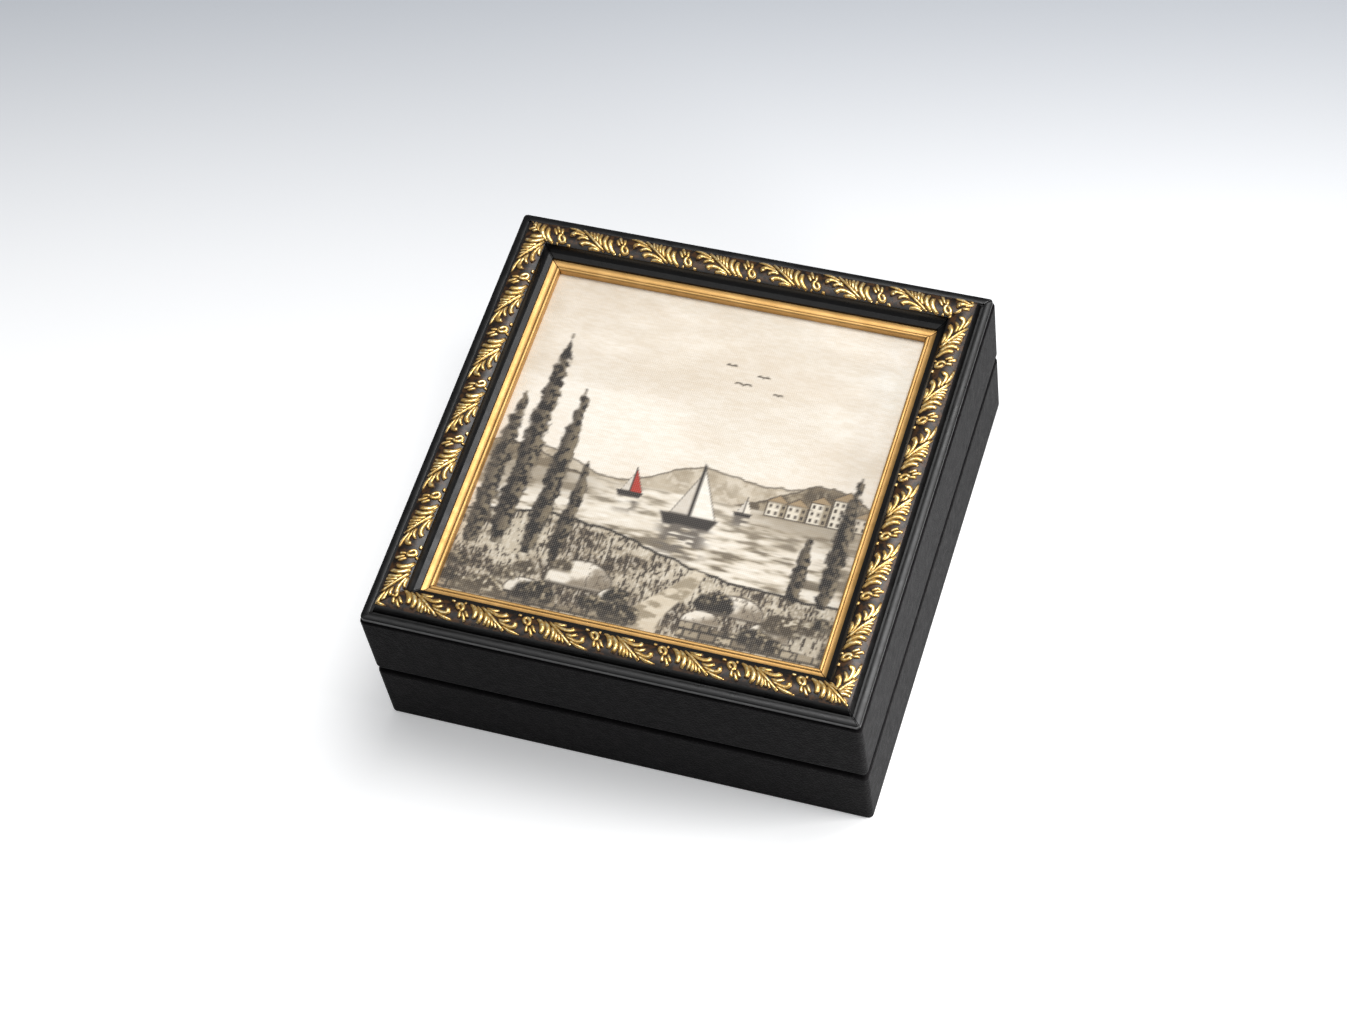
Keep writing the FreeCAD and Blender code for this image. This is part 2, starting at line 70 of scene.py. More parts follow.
def linear(colour):
    """Turns an sRGB hex value, or an array of sRGB values, to linear."""
    if isinstance(colour, str):
        colour = srgb(colour)
    return numpy.where(colour <= 0.04045, colour / 12.92, ((colour + 0.055) / 1.055) ** 2.4)


def paint_of(colour):
    """A colour as a node socket takes it: four linear numbers."""
    if isinstance(colour, str):
        colour = linear(colour)
    return (*colour[:3], 1.0)


def add(tree, kind, inputs=None, **settings):
    """Adds a node with its settings; inputs are links or plain values."""
    node = tree.nodes.new("ShaderNode" + kind)
    for name, value in settings.items():
        setattr(node, name, value)
    for name, value in (inputs or {}).items():
        if isinstance(value, bpy.types.NodeSocket):
            tree.links.new(value, node.inputs[name])
        else:
            node.inputs[name].default_value = value
    return node


def material(name, **values):
    """A new material, its node tree and its shader with the given values."""
    made = bpy.data.materials.new(name)
    made.use_nodes = True
    shader = made.node_tree.nodes["Principled BSDF"]
    for word, value in values.items():
        shader.inputs[word.replace("_", " ")].default_value = value
    return made, made.node_tree, shader


def ramp(tree, value, low, high, start=0.0, end=1.0):
    """A number that goes smoothly from start to end as value goes from low to high."""
    return add(tree, "MapRange", {"Value": value, "From Min": low, "From Max": high,
                                  "To Min": start, "To Max": end},
               interpolation_type="SMOOTHSTEP").outputs["Result"]


def mix(tree, factor, first, second, blend="MIX"):
    """A colour between two, each a link or a colour."""
    colours = [c if isinstance(c, bpy.types.NodeSocket) else paint_of(c) for c in (first, second)]
    return add(tree, "Mix", {0: factor, 6: colours[0], 7: colours[1]},
               data_type="RGBA", blend_type=blend).outputs[2]


def cloud(tree, size, detail=3.0, stretch=(1, 1, 1)):
    """Noise whose patches are about size millimetres across, in object space."""
    place = add(tree, "Mapping", {"Vector": add(tree, "TexCoord").outputs["Object"],
                                  "Scale": stretch}).outputs["Vector"]
    return add(tree, "TexNoise", {"Vector": place, "Scale": 1 / (size * MM),
                                  "Detail": detail}).outputs["Fac"]


def cells(tree, size):
    """Rounded cells about size millimetres across, in object space."""
    place = add(tree, "TexCoord").outputs["Object"]
    return add(tree, "TexVoronoi", {"Vector": place, "Scale": 1 / (size * MM)}).outputs["Distance"]


def ribs(tree, pitch, axis):
    """Sine ribs a pitch of millimetres apart, across one axis."""
    place = add(tree, "TexCoord").outputs["Object"]
    scale = 2 * math.pi / (WAVE_TURN * pitch * MM)
    return add(tree, "TexWave", {"Vector": place, "Scale": scale},
               bands_direction=axis).outputs["Fac"]


def mitre(tree, reach):
    """0 on the joint of a mitred corner, 1 from a reach of millimetres away from it."""
    place = add(tree, "SeparateXYZ", {0: add(tree, "TexCoord").outputs["Object"]}).outputs
    away = [add(tree, "Math", {0: place[axis]}, operation="ABSOLUTE").outputs[0]
            for axis in ("X", "Y")]
    apart = add(tree, "Math", {0: away[0], 1: away[1]}, operation="SUBTRACT").outputs[0]
    apart = add(tree, "Math", {0: apart}, operation="ABSOLUTE").outputs[0]
    return ramp(tree, apart, 0.3 * reach * MM, reach * MM)


def bump(tree, shader, height, depth, under=None):
    """Raises the shader's surface by depth millimetres where height is 1, on top of
    what an earlier bump gave."""
    inputs = {"Height": height, "Distance": depth * MM}
    if under:
        inputs["Normal"] = under
    raised = add(tree, "Bump", inputs).outputs["Normal"]
    tree.links.new(raised, shader.inputs["Normal"])
    return raised


def link(tree, shader, name, value):
    """Leads a value into one of the shader's sockets."""
    tree.links.new(value, shader.inputs[name])


def dress(names, finish):
    """Gives CAD nodes a finish."""
    for name in names:
        mesh = NODES[name].data
        mesh.materials.clear()
        mesh.materials.append(finish)


def new_piece(name, mesh, body, finish):
    """A finished piece from a bmesh, on its body and finish."""
    data = bpy.data.meshes.new(name)
    mesh.to_mesh(data)
    mesh.free()
    piece = bpy.data.objects.new(name, data)
    bpy.context.scene.collection.objects.link(piece)
    data.materials.append(finish)
    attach(piece, body)
    return piece


# ------------------------------------------------------------ sizes and colours


def length(name, description, default):
    """A property in metres."""
    return bpy.props.FloatProperty(name=name, description=description, default=default,
                                   subtype="DISTANCE", unit="LENGTH", precision=5)


def angle(name, description, default):
    """A property whose default is given in degrees."""
    return bpy.props.FloatProperty(name=name, description=description,
                                   default=math.radians(default), subtype="ANGLE",
                                   unit="ROTATION")


def colour(name, description, default):
    """A colour property whose default is given in sRGB hex."""
    return bpy.props.FloatVectorProperty(name=name, description=description, subtype="COLOR",
                                         default=tuple(linear(default)), min=0, max=1)


class SweetBoxSizes(bpy.types.PropertyGroup):
    """Sizes of the detail that goes on the CAD pieces."""

    motif_length: length("Motif", "Length of one leaf motif of the moulding", 27.05 * MM)
    relief: length("Relief", "Height of the ornament over its band", 0.85 * MM)
    canvas_side: length("Canvas side", "Side of the cut canvas", 171.6 * MM)
    canvas_thick: length("Canvas thickness", "Thickness of the primed canvas", 0.6 * MM)
    thread: length("Thread spacing", "Spacing of the canvas's threads", 0.8 * MM)
    grain: length("Leather grain", "Width of a grain of the leatherette", 0.8 * MM)
    canvas_cells: bpy.props.IntProperty(name="Canvas cells", default=300, min=60, max=310,
                                        description="Cells along a side of the canvas's grid")


class SweetBoxColours(bpy.types.PropertyGroup):
    """Colours of the finishes."""

    leather: colour("Leatherette", "Body colour of the wrap", "#0f0e0f")
    lacquer: colour("Lacquer", "Black of the moulding", "#0c0b0b")
    # The bole's brown is also painted on the ornament's sides that face away from up, partly as
    # painted shade.
    bole: colour("Bole", "Brown under the gilding", "#4a3018")
    gold: colour("Gold", "Bronze gold of the ornament", "#d2aa62")
    # Pale gold that the gilding paints where the ornament faces straight up: a painted highlight.
    painted_highlight_gold: colour("Painted highlight gold", "Gold on the ornament's crowns", "#f6e4ae")
    slip: colour("Slip", "Leaf on the inner slip", "#d2a768")
    lining: colour("Lining", "Cream lining paper", "#efe7d6")
    floor: colour("Floor", "Studio floor", "#f4f4f4")
    far_floor: colour("Far floor", "Floor at the back of the studio", "#90959d")


class SweetBoxView(bpy.types.PropertyGroup):
    """Where the camera stands."""

    lens: bpy.props.FloatProperty(name="Lens", description="Focal length", default=84.271,
                                  subtype="DISTANCE_CAMERA", unit="CAMERA")
    target: bpy.props.FloatVectorProperty(name="Target", description="Point the camera faces",
                                          default=(-0.01835, 0.01967, 0.0), subtype="XYZ",
                                          unit="LENGTH", precision=5)
    distance: length("Distance", "Camera to target", 1.3038)
    azimuth: angle("Azimuth", "Round the box from its front", 27.241)
    elevation: angle("Elevation", "Above the floor", 56.896)
    roll: angle("Roll", "Turn about the view line", -11.760)


# ------------------------------------------------------------------- finishes


def leatherette(sizes, colours):
    """Embossed leatherette: coated black paper with a pressed grain, so the light
    breaks into a fine broad sheen instead of a reflection."""
    made, tree, shader = material("embossed_leatherette", Roughness=0.6,
                                  Specular_IOR_Level=0.03, Sheen_Weight=0.05,
                                  Sheen_Roughness=0.4)
    wide = cloud(tree, 9)
    fine = cells(tree, sizes.grain / MM)
    base = mix(tree, ramp(tree, wide, 0.3, 0.7), colours.leather, "#151314")
    # Each grain cell is painted darker towards its edge, in the creases that the bump sinks:
    # painted shade.
    link(tree, shader, "Base Color", mix(tree, ramp(tree, fine, 0.2, 0.7, 0, 0.5), base,
                                         "#090809"))
    link(tree, shader, "Roughness", ramp(tree, cloud(tree, 4), 0.3, 0.7, 0.56, 0.66))
    bump(tree, shader, ramp(tree, fine, 0.1, 0.8, 1, 0), 0.1)
    return made


BAND_LOW, BAND_HIGH = 75.8, 76.4  # millimetres up; the bole and the dust lie above these


def lacquer(colours):
    """Satin black lacquer over a moulded wood profile: a soft long highlight on each
    curve, with patches of brown bole left in the ornament's ground."""
    made, tree, shader = material("satin_black_lacquer", Roughness=0.3,
                                  Specular_IOR_Level=0.4)
    place = add(tree, "SeparateXYZ", {0: add(tree, "TexCoord").outputs["Object"]})
    band = ramp(tree, place.outputs["Z"], BAND_LOW * MM, BAND_HIGH * MM)
    dust = add(tree, "Math", {0: band, 1: ramp(tree, cloud(tree, 2.2), 0.42, 0.62, 0.1, 0.9)},
               operation="MULTIPLY").outputs[0]
    link(tree, shader, "Base Color", mix(tree, dust, colours.lacquer, colours.bole))
    link(tree, shader, "Roughness", ramp(tree, cloud(tree, 5), 0.3, 0.7, 0.27, 0.38))
    joint = bump(tree, shader, mitre(tree, 0.6), 0.5)
    bump(tree, shader, cloud(tree, 1.2), 0.01, under=joint)
    return made


def bronze_gilding(colours):
    """Bronze gilding wiped over pressed ornament, with its light and shade painted in:
    gold on the crowns, paler still where a point faces straight up as a painted highlight,
    and brown on the sides that face away from up, partly the bole where the cloth did not
    reach and partly painted shade. The gilt attribute is 1 on a crown: how far a point
    faces up."""
    made, tree, shader = material("wiped_bronze_gilding", Roughness=0.34)
    height = add(tree, "Attribute", attribute_name="gilt").outputs["Fac"]
    worn = ramp(tree, cloud(tree, 1.1), 0.25, 0.75, -0.22, 0.22)
    level = add(tree, "Math", {0: height, 1: worn}, operation="ADD").outputs[0]
    # Gold on faces that point up, the bole's brown on faces that point aside or down: partly the
    # bole left by the wiping, partly painted shade.
    body = mix(tree, ramp(tree, level, 0.24, 0.78), colours.bole, colours.gold)
    # Pale gold where the level is highest, on faces that point straight up: a painted highlight.
    link(tree, shader, "Base Color", mix(tree, ramp(tree, level, 0.84, 1.1), body,
                                         colours.painted_highlight_gold))
    link(tree, shader, "Metallic", ramp(tree, level, 0.2, 0.6, 0.1, 0.7))
    link(tree, shader, "Roughness", ramp(tree, level, 0.2, 0.9, 0.5, 0.3))
    bump(tree, shader, cloud(tree, 0.7), 0.03)
    return made


def leaf_gilding(colours):
    """Metal leaf laid on the slip and burnished: a smooth bright sheen that follows
    each hollow, a little uneven from leaf to leaf."""
    made, tree, shader = material("burnished_metal_leaf", Metallic=0.8, Roughness=0.43)
    leaf = mix(tree, ramp(tree, cloud(tree, 9, detail=4), 0.3, 0.7), colours.slip, "#c3985a")
    link(tree, shader, "Base Color", mix(tree, mitre(tree, 0.4), "#5a3d20", leaf))
    link(tree, shader, "Roughness", ramp(tree, cloud(tree, 3), 0.3, 0.7, 0.41, 0.49))
    bump(tree, shader, cloud(tree, 2.5), 0.004)
    return made


def primed_canvas(sizes):
    """Oil paint on primed cotton canvas: matt, with the plain weave showing through.
    The threads are drawn coarser than a fine canvas has them, so that they show. The
    paint attribute holds the picture's colours."""
    made, tree, shader = material("oil_paint_on_canvas", Roughness=0.72)
    paint = add(tree, "Attribute", attribute_name="paint").outputs["Color"]
    drag = cloud(tree, 2.0, detail=4, stretch=(0.45, 1.6, 1))
    brushed = mix(tree, 1.0, paint, mix(tree, ramp(tree, drag, 0.3, 0.7), "#f7f4ef", "#ffffff"),
                  blend="MULTIPLY")
    pitch = sizes.thread / MM
    weave = add(tree, "Math", {0: ribs(tree, pitch, "X"), 1: ribs(tree, pitch, "Y")},
                operation="MULTIPLY").outputs[0]
    # The threads' crowns are painted paler, towards a pale cream: a painted highlight on the
    # weave.
    crown = ramp(tree, weave, 0.25, 0.9, 0.0, 0.16)
    link(tree, shader, "Base Color", mix(tree, crown, brushed, "#efe6da"))
    rough = bump(tree, shader, drag, 0.008)
    bump(tree, shader, weave, 0.06, under=rough)
    return made


def lining_paper(colours):
    """Cream lining paper, calendered: matt with faint fibres."""
    made, tree, shader = material("cream_lining_paper", Roughness=0.82)
    fibres = cloud(tree, 1.3, detail=6, stretch=(0.7, 1.2, 1.2))
    link(tree, shader, "Base Color", mix(tree, ramp(tree, fibres, 0.35, 0.65), colours.lining,
                                         "#e6dcc8"))
    bump(tree, shader, fibres, 0.02)
    return made


def wool_felt():
    """Pressed black felt under the box: no shine, short fibres."""
    made, tree, shader = material("pressed_felt", Roughness=0.95, Sheen_Weight=0.3)
    fibres = cloud(tree, 0.9, detail=6)
    link(tree, shader, "Base Color", mix(tree, fibres, "#141314", "#2a282a"))
    bump(tree, shader, fibres, 0.15)
    return made


def grey_board():
    """Raw wood-fibre board: brown-grey, with pressed flecks."""
    made, tree, shader = material("raw_fibre_board", Roughness=0.85)
    link(tree, shader, "Base Color", mix(tree, cloud(tree, 0.8, detail=5), "#8f7654", "#b89b72"))
    bump(tree, shader, cloud(tree, 0.6), 0.03)
    return made


def metal(name, body, dull, roughness):
    """A plain metal: its brightness wanders a little, as on a stamped or drawn part."""
    made, tree, shader = material(name, Metallic=1.0, Roughness=roughness)
    link(tree, shader, "Base Color", mix(tree, ramp(tree, cloud(tree, 3, detail=5), 0.35, 0.7),
                                         body, dull))
    link(tree, shader, "Roughness", ramp(tree, cloud(tree, 1.5), 0.3, 0.7, roughness,
                                         roughness + 0.14))
    bump(tree, shader, cloud(tree, 0.7), 0.008)
    return made


# ------------------------------------------------------------------- ornament

# One motif of the moulding, in millimetres: along the rail, then inward from the
# ornament's outer edge. A taper gives the width at the start, the thirds and the end.
LEAF = (0.5, 1.0, 1.05, 0.72)
BLADE = (0.45, 0.75, 1.0, 0.35)
CLUB = (0.4, 0.62, 0.85, 1.0)
CORD = (0.9, 1.0, 1.0, 0.85)
MOTIF = (
    (CORD, 1.81, ((0.4, 5.6), (-0.9, 6.7), (-1.5, 8.2), (-0.7, 9.2), (0.6, 8.7), (1.5, 7.1),
                 (1.3, 5.5), (0.4, 5.4))),
    (LEAF, 1.89, ((0.8, 5.5), (0.6, 4.0), (1.3, 2.1))),
    (LEAF, 1.83, ((1.8, 4.7), (2.7, 3.0), (3.7, 1.0))),
    (LEAF, 1.83, ((2.5, 6.0), (3.4, 4.6), (4.5, 2.8))),
    (CORD, 1.62, ((1.1, 9.9), (1.5, 9.9), (1.9, 9.8))),
    (CORD, 1.5, ((22.9, 9.9), (23.6, 9.9), (24.3, 9.7))),
    (LEAF, 2.55, ((3.4, 10.1), (5.3, 8.8), (6.6, 6.6), (7.0, 4.8), (6.7, 3.0))),
    (LEAF, 2.42, ((6.2, 9.6), (8.0, 7.9), (9.2, 5.8), (9.5, 3.8), (8.9, 1.4))),
    (LEAF, 2.02, ((10.1, 7.3), (11.2, 5.6), (11.8, 3.7), (11.5, 1.2))),
    (LEAF, 1.77, ((11.9, 5.9), (12.9, 4.1), (13.2, 2.4), (13.0, 0.9))),
    (LEAF, 1.63, ((13.5, 4.8), (14.4, 3.1), (14.8, 1.1))),
    (LEAF, 1.43, ((15.0, 3.7), (15.8, 2.4), (16.4, 0.9))),
    (CORD, 1.5, ((8.2, 9.7), (10.9, 7.6), (13.6, 5.4), (16.3, 3.2), (19.4, 0.7))),
    (CLUB, 2.64, ((10.2, 9.3), (12.2, 8.3), (14.3, 7.4), (16.4, 7.1), (18.2, 7.6), (18.8, 8.7))),
    (LEAF, 1.83, ((10.0, 9.9), (12.0, 9.3), (13.7, 9.1), (15.3, 9.8))),
    (LEAF, 1.83, ((16.0, 5.4), (17.9, 4.6), (19.4, 5.0), (20.8, 6.2))),
    (CLUB, 2.64, ((16.8, 4.3), (18.6, 3.6), (20.5, 3.0), (22.4, 2.9), (23.6, 3.9), (22.8, 5.2))),
    (BLADE, 1.74, ((18.2, 2.8), (20.6, 1.6), (23.2, 0.9), (25.9, 0.5))),
)
FIRST_KNOT = {"front": -7.2, "right": 7.25, "back": -2.7, "left": -11.95}

# The rail's domed band, an arc across the rail: its centre, radius and outer end.
DOME_OUT, DOME_UP, DOME_RADIUS = 90.072, 65.528, 11.5
EDGE_OUT, EDGE_UP = 94.1, 76.3
DOME_START = math.atan2(EDGE_UP - DOME_UP, EDGE_OUT - DOME_OUT)
INWARD = 0.9  # the motif's ten millimetres on the nine of the band
RAIL_REACH = 96  # from the rail's middle to past its mitre
MOTIF_BEFORE, MOTIF_AFTER = 2, 26  # how far a motif reaches from its knot


def lobe(taper, width, points):
    """A tube along the points, as a mesh in the motif's plane."""
    curve = bpy.data.curves.new("lobe", "CURVE")
    curve.dimensions = "3D"
    curve.twist_mode = "Z_UP"
    curve.resolution_u = 3
    curve.bevel_depth = 1.0
    curve.bevel_resolution = 2
    curve.use_fill_caps = True
    spline = curve.splines.new("NURBS")
    spline.points.add(len(points) - 1)
    for number, (place, (along, inward)) in enumerate(zip(spline.points, points)):
        place.co = (along, inward * INWARD, 0, 1)
        share = number / (len(points) - 1)
        place.radius = width / 2 * numpy.interp(share, (0, 1 / 3, 2 / 3, 1), taper)
    spline.order_u = 3
    spline.use_endpoint_u = True
    holder = bpy.data.objects.new("lobe", curve)
    mesh = bpy.data.meshes.new_from_object(holder)
    bpy.data.objects.remove(holder)
    bpy.data.curves.remove(curve)
    return mesh


def motif_mesh(relief):
    """All lobes of one motif, flattened to the relief, with the gilt attribute: how far
    each point faces up, from which the gilding's highlight and shade are painted.
    """
    made = bmesh.new()
    gilt = made.verts.layers.float.new("gilt")
    for taper, width, points in MOTIF:
        mesh = lobe(taper, width, points)
        first = len(made.verts)
        made.from_mesh(mesh)
        bpy.data.meshes.remove(mesh)
        made.verts.ensure_lookup_table()
        made.normal_update()
        for vert in made.verts[first:]:
            # How far the point faces up: the gilding paints its highlight and its shade from this.
            vert[gilt] = max(0.0, vert.normal.z)
            vert.co.z *= relief / (MM * width / 2)
    return made


def on_dome(along, inward, height):
    """A place on the front rail's band, in metres."""
    turn = DOME_START + inward / DOME_RADIUS
    reach = DOME_RADIUS + height
    return Vector((along, -(DOME_OUT + reach * math.cos(turn)),
                   DOME_UP + reach * math.sin(turn))) * MM


def ornament(side, sizes, finish):
    """The leaf ornament of one rail, mitred at its ends."""
    step = sizes.motif_length / MM
    motif = motif_mesh(sizes.relief)
    model = bpy.data.meshes.new("motif")
    motif.to_mesh(model)
    motif.free()
    made = bmesh.new()
    start = FIRST_KNOT[side]
    first_motif = math.floor((-RAIL_REACH - MOTIF_AFTER - start) / step)
    last_motif = math.ceil((RAIL_REACH + MOTIF_BEFORE - start) / step)
    for number in range(first_motif, last_motif):
        first = len(made.verts)
        made.from_mesh(model)
        made.verts.ensure_lookup_table()
        for vert in made.verts[first:]:
            vert.co = on_dome(vert.co.x + start + number * step, vert.co.y, vert.co.z)
    bpy.data.meshes.remove(model)
    bmesh.ops.remove_doubles(made, verts=made.verts, dist=0.002 * MM)
    for end in (-1, 1):  # a mitre at each end, closed again
        shape = made.verts[:] + made.edges[:] + made.faces[:]
        cut = bmesh.ops.bisect_plane(made, geom=shape, dist=0.001 * MM, plane_co=(0, 0, 0),
                                     plane_no=(end, 1, 0), clear_outer=True)
        edges = [e for e in cut["geom_cut"] if isinstance(e, bmesh.types.BMEdge)]
        bmesh.ops.holes_fill(made, edges=edges, sides=0)
    bmesh.ops.recalc_face_normals(made, faces=made.faces)
    bmesh.ops.rotate(made, verts=made.verts, cent=(0, 0, 0),
                     matrix=Matrix.Rotation(SIDES.index(side) * math.pi / 2, 3, "Z"))
    for face in made.faces:
        face.smooth = True
    return new_piece("frame_%s_ornament" % side, made, "lid", finish)


# -------------------------------------------------------------------- picture


TABLE = 128  # values along a side of a table of noise


def patches(x, y, size, seed, layers=1):
    """Smooth seeded noise from 0 to 1 with patches size millimetres across."""
    total, weight, sum_of_weights = 0.0, 1.0, 0.0
    for layer in range(layers):
        table = numpy.random.default_rng(seed + layer).random((TABLE, TABLE))
        u, v = x * 2**layer / size + 40.5, y * 2**layer / size + 40.5
        i, j = numpy.floor(u).astype(int), numpy.floor(v).astype(int)
        f, g = u - i, v - j
        f, g = f * f * (3 - 2 * f), g * g * (3 - 2 * g)
        i, j, k, m = i % TABLE, j % TABLE, (i + 1) % TABLE, (j + 1) % TABLE
        low = table[i, j] * (1 - f) + table[k, j] * f
        high = table[i, m] * (1 - f) + table[k, m] * f
        total = total + weight * (low * (1 - g) + high * g)
        sum_of_weights += weight
        weight *= 0.55
    return total / sum_of_weights


def edge(value, softness):
    """0 where value is well below zero, 1 where it is well above."""
    t = numpy.clip(value / softness * 0.5 + 0.5, 0, 1)
    return t * t * (3 - 2 * t)


class Canvas:
    """Colours at many places of the picture, laid on coat by coat."""

    def __init__(self, x, y, ground):
        self.x, self.y = x, y
        self.colours = numpy.tile(srgb(ground), (len(x), 1))

    def lay(self, mask, colour):
        """Covers the places by their share in the mask."""
        share = numpy.clip(mask, 0, 1)[:, None]
        self.colours += (srgb(colour) - self.colours) * share

    def noise(self, size, seed, layers=1, stretch=1.0):
        """Patches at the canvas's places, stretched along x."""
        return patches(self.x / stretch, self.y, size, seed, layers)


INK, SOOT, UMBER, STONE = "#3f362c", "#26211c", "#3a3129", "#a3957e"
DARK_BUSH = ("#241f1a", "#6b5f4c", "#b8aa90")
PALE_BUSH = ("#4e4437", "#9b8d75", "#e6dbc6")


def hills(canvas, crest, foot, colours, seed, rough):
    """A ridge whose crest is a function of x; its lit and shaded slopes are mottled."""
    x, y = canvas.x, canvas.y
    top = crest(x) + rough * (patches(x, 0 * y, 7, seed, 4) - 0.5)
    mask = edge(top - y, 0.8) * edge(y - foot, 0.8)
    canvas.lay(mask, colours[0])
    canvas.lay(mask * edge(canvas.noise(5, seed + 5, 4) - 0.55, 0.2), colours[1])
    canvas.lay(mask * edge(canvas.noise(2.6, seed + 9, 3) - 0.62, 0.1) * 0.8, colours[2])
    canvas.lay(edge(0.4 - abs(top - y), 0.3) * edge(y - foot, 0.8) * 0.6, INK)


def cypress(canvas, middle, foot, height, width, seed):
    """A tall dark tree, lit a little on its right."""
    t = (canvas.y - foot) / height
    swell = numpy.clip(t + 0.03, 0, 1) ** 0.35 * numpy.clip(1 - t, 0, 1) ** 0.62
    lean = middle + 1.2 * (patches(canvas.y, canvas.y * 0, 18, seed) - 0.5)
    side = (canvas.x - lean) / width
    ragged = 0.35 * (canvas.noise(2.4, seed, 3) - 0.5)
    mask = edge(swell * 0.62 - abs(side) + ragged * (swell > 0.02), 0.1) * (t > -0.02) * (t < 1.02)
    canvas.lay(mask, "#38312a")
    leaves = canvas.noise(1.7, seed + 3, 3)
    canvas.lay(mask * edge(leaves - 0.5, 0.12) * edge(side + 0.05, 0.3), "#857862")
    canvas.lay(mask * edge(0.45 - leaves, 0.1), "#1d1916")


def bush(canvas, middle, foot, radius, seed, tones):
    """A round clump of leaves."""
    away = numpy.hypot(canvas.x - middle, (canvas.y - foot) * 1.25)
    ragged = radius * (1 + 0.5 * (canvas.noise(3.2, seed, 4) - 0.5))
    mask = edge(ragged - away, 0.9) * edge(canvas.y - foot + 0.35 * radius, 1.2)
    canvas.lay(mask, tones[0])
    leaves = canvas.noise(1.5, seed + 2, 3)
    lit = (canvas.x - middle) * 0.5 + (canvas.y - foot)
    canvas.lay(mask * edge(leaves - 0.52, 0.08) * edge(lit, radius), tones[1])
    canvas.lay(mask * edge(leaves - 0.66, 0.06) * edge(lit, radius), tones[2])


def boat(canvas, middle, water, size, sail):
    """A small sailing boat: a hull, a mast and two sails, with its mirror image."""
    x, y = (canvas.x - middle) / size, (canvas.y - water) / size
    main = numpy.minimum.reduce([x - 0.02, 1.55 - y - 2.2 * (x - 0.02), y - 0.24])
    jib = numpy.minimum.reduce([-0.04 - x, 1.3 - y + 2.5 * (x + 0.04), y - 0.28])
    for cloth, colour_of_cloth in ((main, sail), (jib, "#ddd4c7")):
        canvas.lay(edge(cloth + 0.045, 0.05), "#5d554d")
        canvas.lay(edge(cloth, 0.05), colour_of_cloth)
    canvas.lay(edge(0.03 - abs(x), 0.03) * edge(y - 0.1, 0.05) * edge(1.66 - y, 0.05), "#2f2b28")
    hull = numpy.minimum.reduce([0.2 - abs(y - 0.1) * 1.3, 0.66 - abs(x) - 0.5 * (0.2 - y)])
    canvas.lay(edge(hull, 0.05), "#332e2b")
    mirror = edge(0.55 - abs(x), 0.25) * edge(-y, 0.05) * edge(y + 0.8, 0.4)
    canvas.lay(mirror * edge(patches(canvas.x * 0.3, canvas.y, 1.1, 77) - 0.45, 0.15), "#6f675e")


def house(canvas, left, foot, width, height):
    """A plastered house with a tiled roof and rows of windows, lit from the left."""
    x, y = canvas.x - left, canvas.y - foot
    wall = numpy.minimum.reduce([x, width - x, y, height - y])
    eaves = numpy.minimum(y - height, height + 0.42 * width - y - 0.72 * abs(x - width / 2))
    for shape, tone in ((wall, "#ece2d0"), (eaves, "#a8906f")):
        canvas.lay(edge(shape + 0.4, 0.35), INK)
        canvas.lay(edge(shape, 0.35), tone)
    canvas.lay(edge(numpy.minimum(wall, x - 0.66 * width), 0.3), STONE)
    u, v = x % 2.5 - 1.25, y % 3.1 - 1.5
    pane = numpy.minimum.reduce([0.5 - abs(u), 0.75 - abs(v), wall - 0.5])
    canvas.lay(edge(pane, 0.3), UMBER)


def rock(canvas, middle, foot, width, height, seed):
    """A pale boulder: a broken outline, lit on its left top, cracked and dark below."""
    x, y = (canvas.x - middle) / width, (canvas.y - foot) / height
    broken = 0.3 * (canvas.noise(5, seed, 3) - 0.5)
    body = numpy.minimum(1 - x * x - numpy.clip(y, 0, 2) ** 2 + broken, y + 0.12)
    canvas.lay(edge(body + 0.12, 0.12), INK)
    canvas.lay(edge(body, 0.1), "#efe6d7")
    shade = edge(x * 0.7 - y * 0.9 + 0.15 + canvas.noise(4, seed + 3, 4) - 0.5, 0.35)
    canvas.lay(edge(body, 0.1) * shade, "#8f8270")
    crack = abs(canvas.noise(7, seed + 6, 3, stretch=0.6) - 0.5)
    canvas.lay(edge(body, 0.1) * edge(0.012 - crack, 0.02) * 0.8, "#4b4136")


def stone_wall(canvas, top, seed):
    """A dry wall of flat stones up to a line given as a function of x."""
    high, long = 3.6, 6.4
    stones = numpy.random.default_rng(seed).random((64, 64))
    row = (canvas.y + 100) / high
    along = canvas.x / long + 32 + stones[numpy.floor(row).astype(int) % 64, 0]
    here = stones[numpy.floor(along).astype(int) % 64, numpy.floor(row).astype(int) % 64]
    joint = numpy.minimum(long / 2 - abs(along % 1 - 0.5) * long,
                          high / 2 - abs(row % 1 - 0.5) * high)
    mask = edge(top(canvas.x) + 1.6 * here - canvas.y, 0.4)
    canvas.lay(mask, "#7c6f5c")
    canvas.lay(mask * edge(here - 0.5, 0.3), "#bdaf97")
    canvas.lay(mask * edge(canvas.noise(1.6, seed, 3) - 0.6, 0.08), "#4c4338")
    canvas.lay(mask * edge(0.4 - joint, 0.3), SOOT)


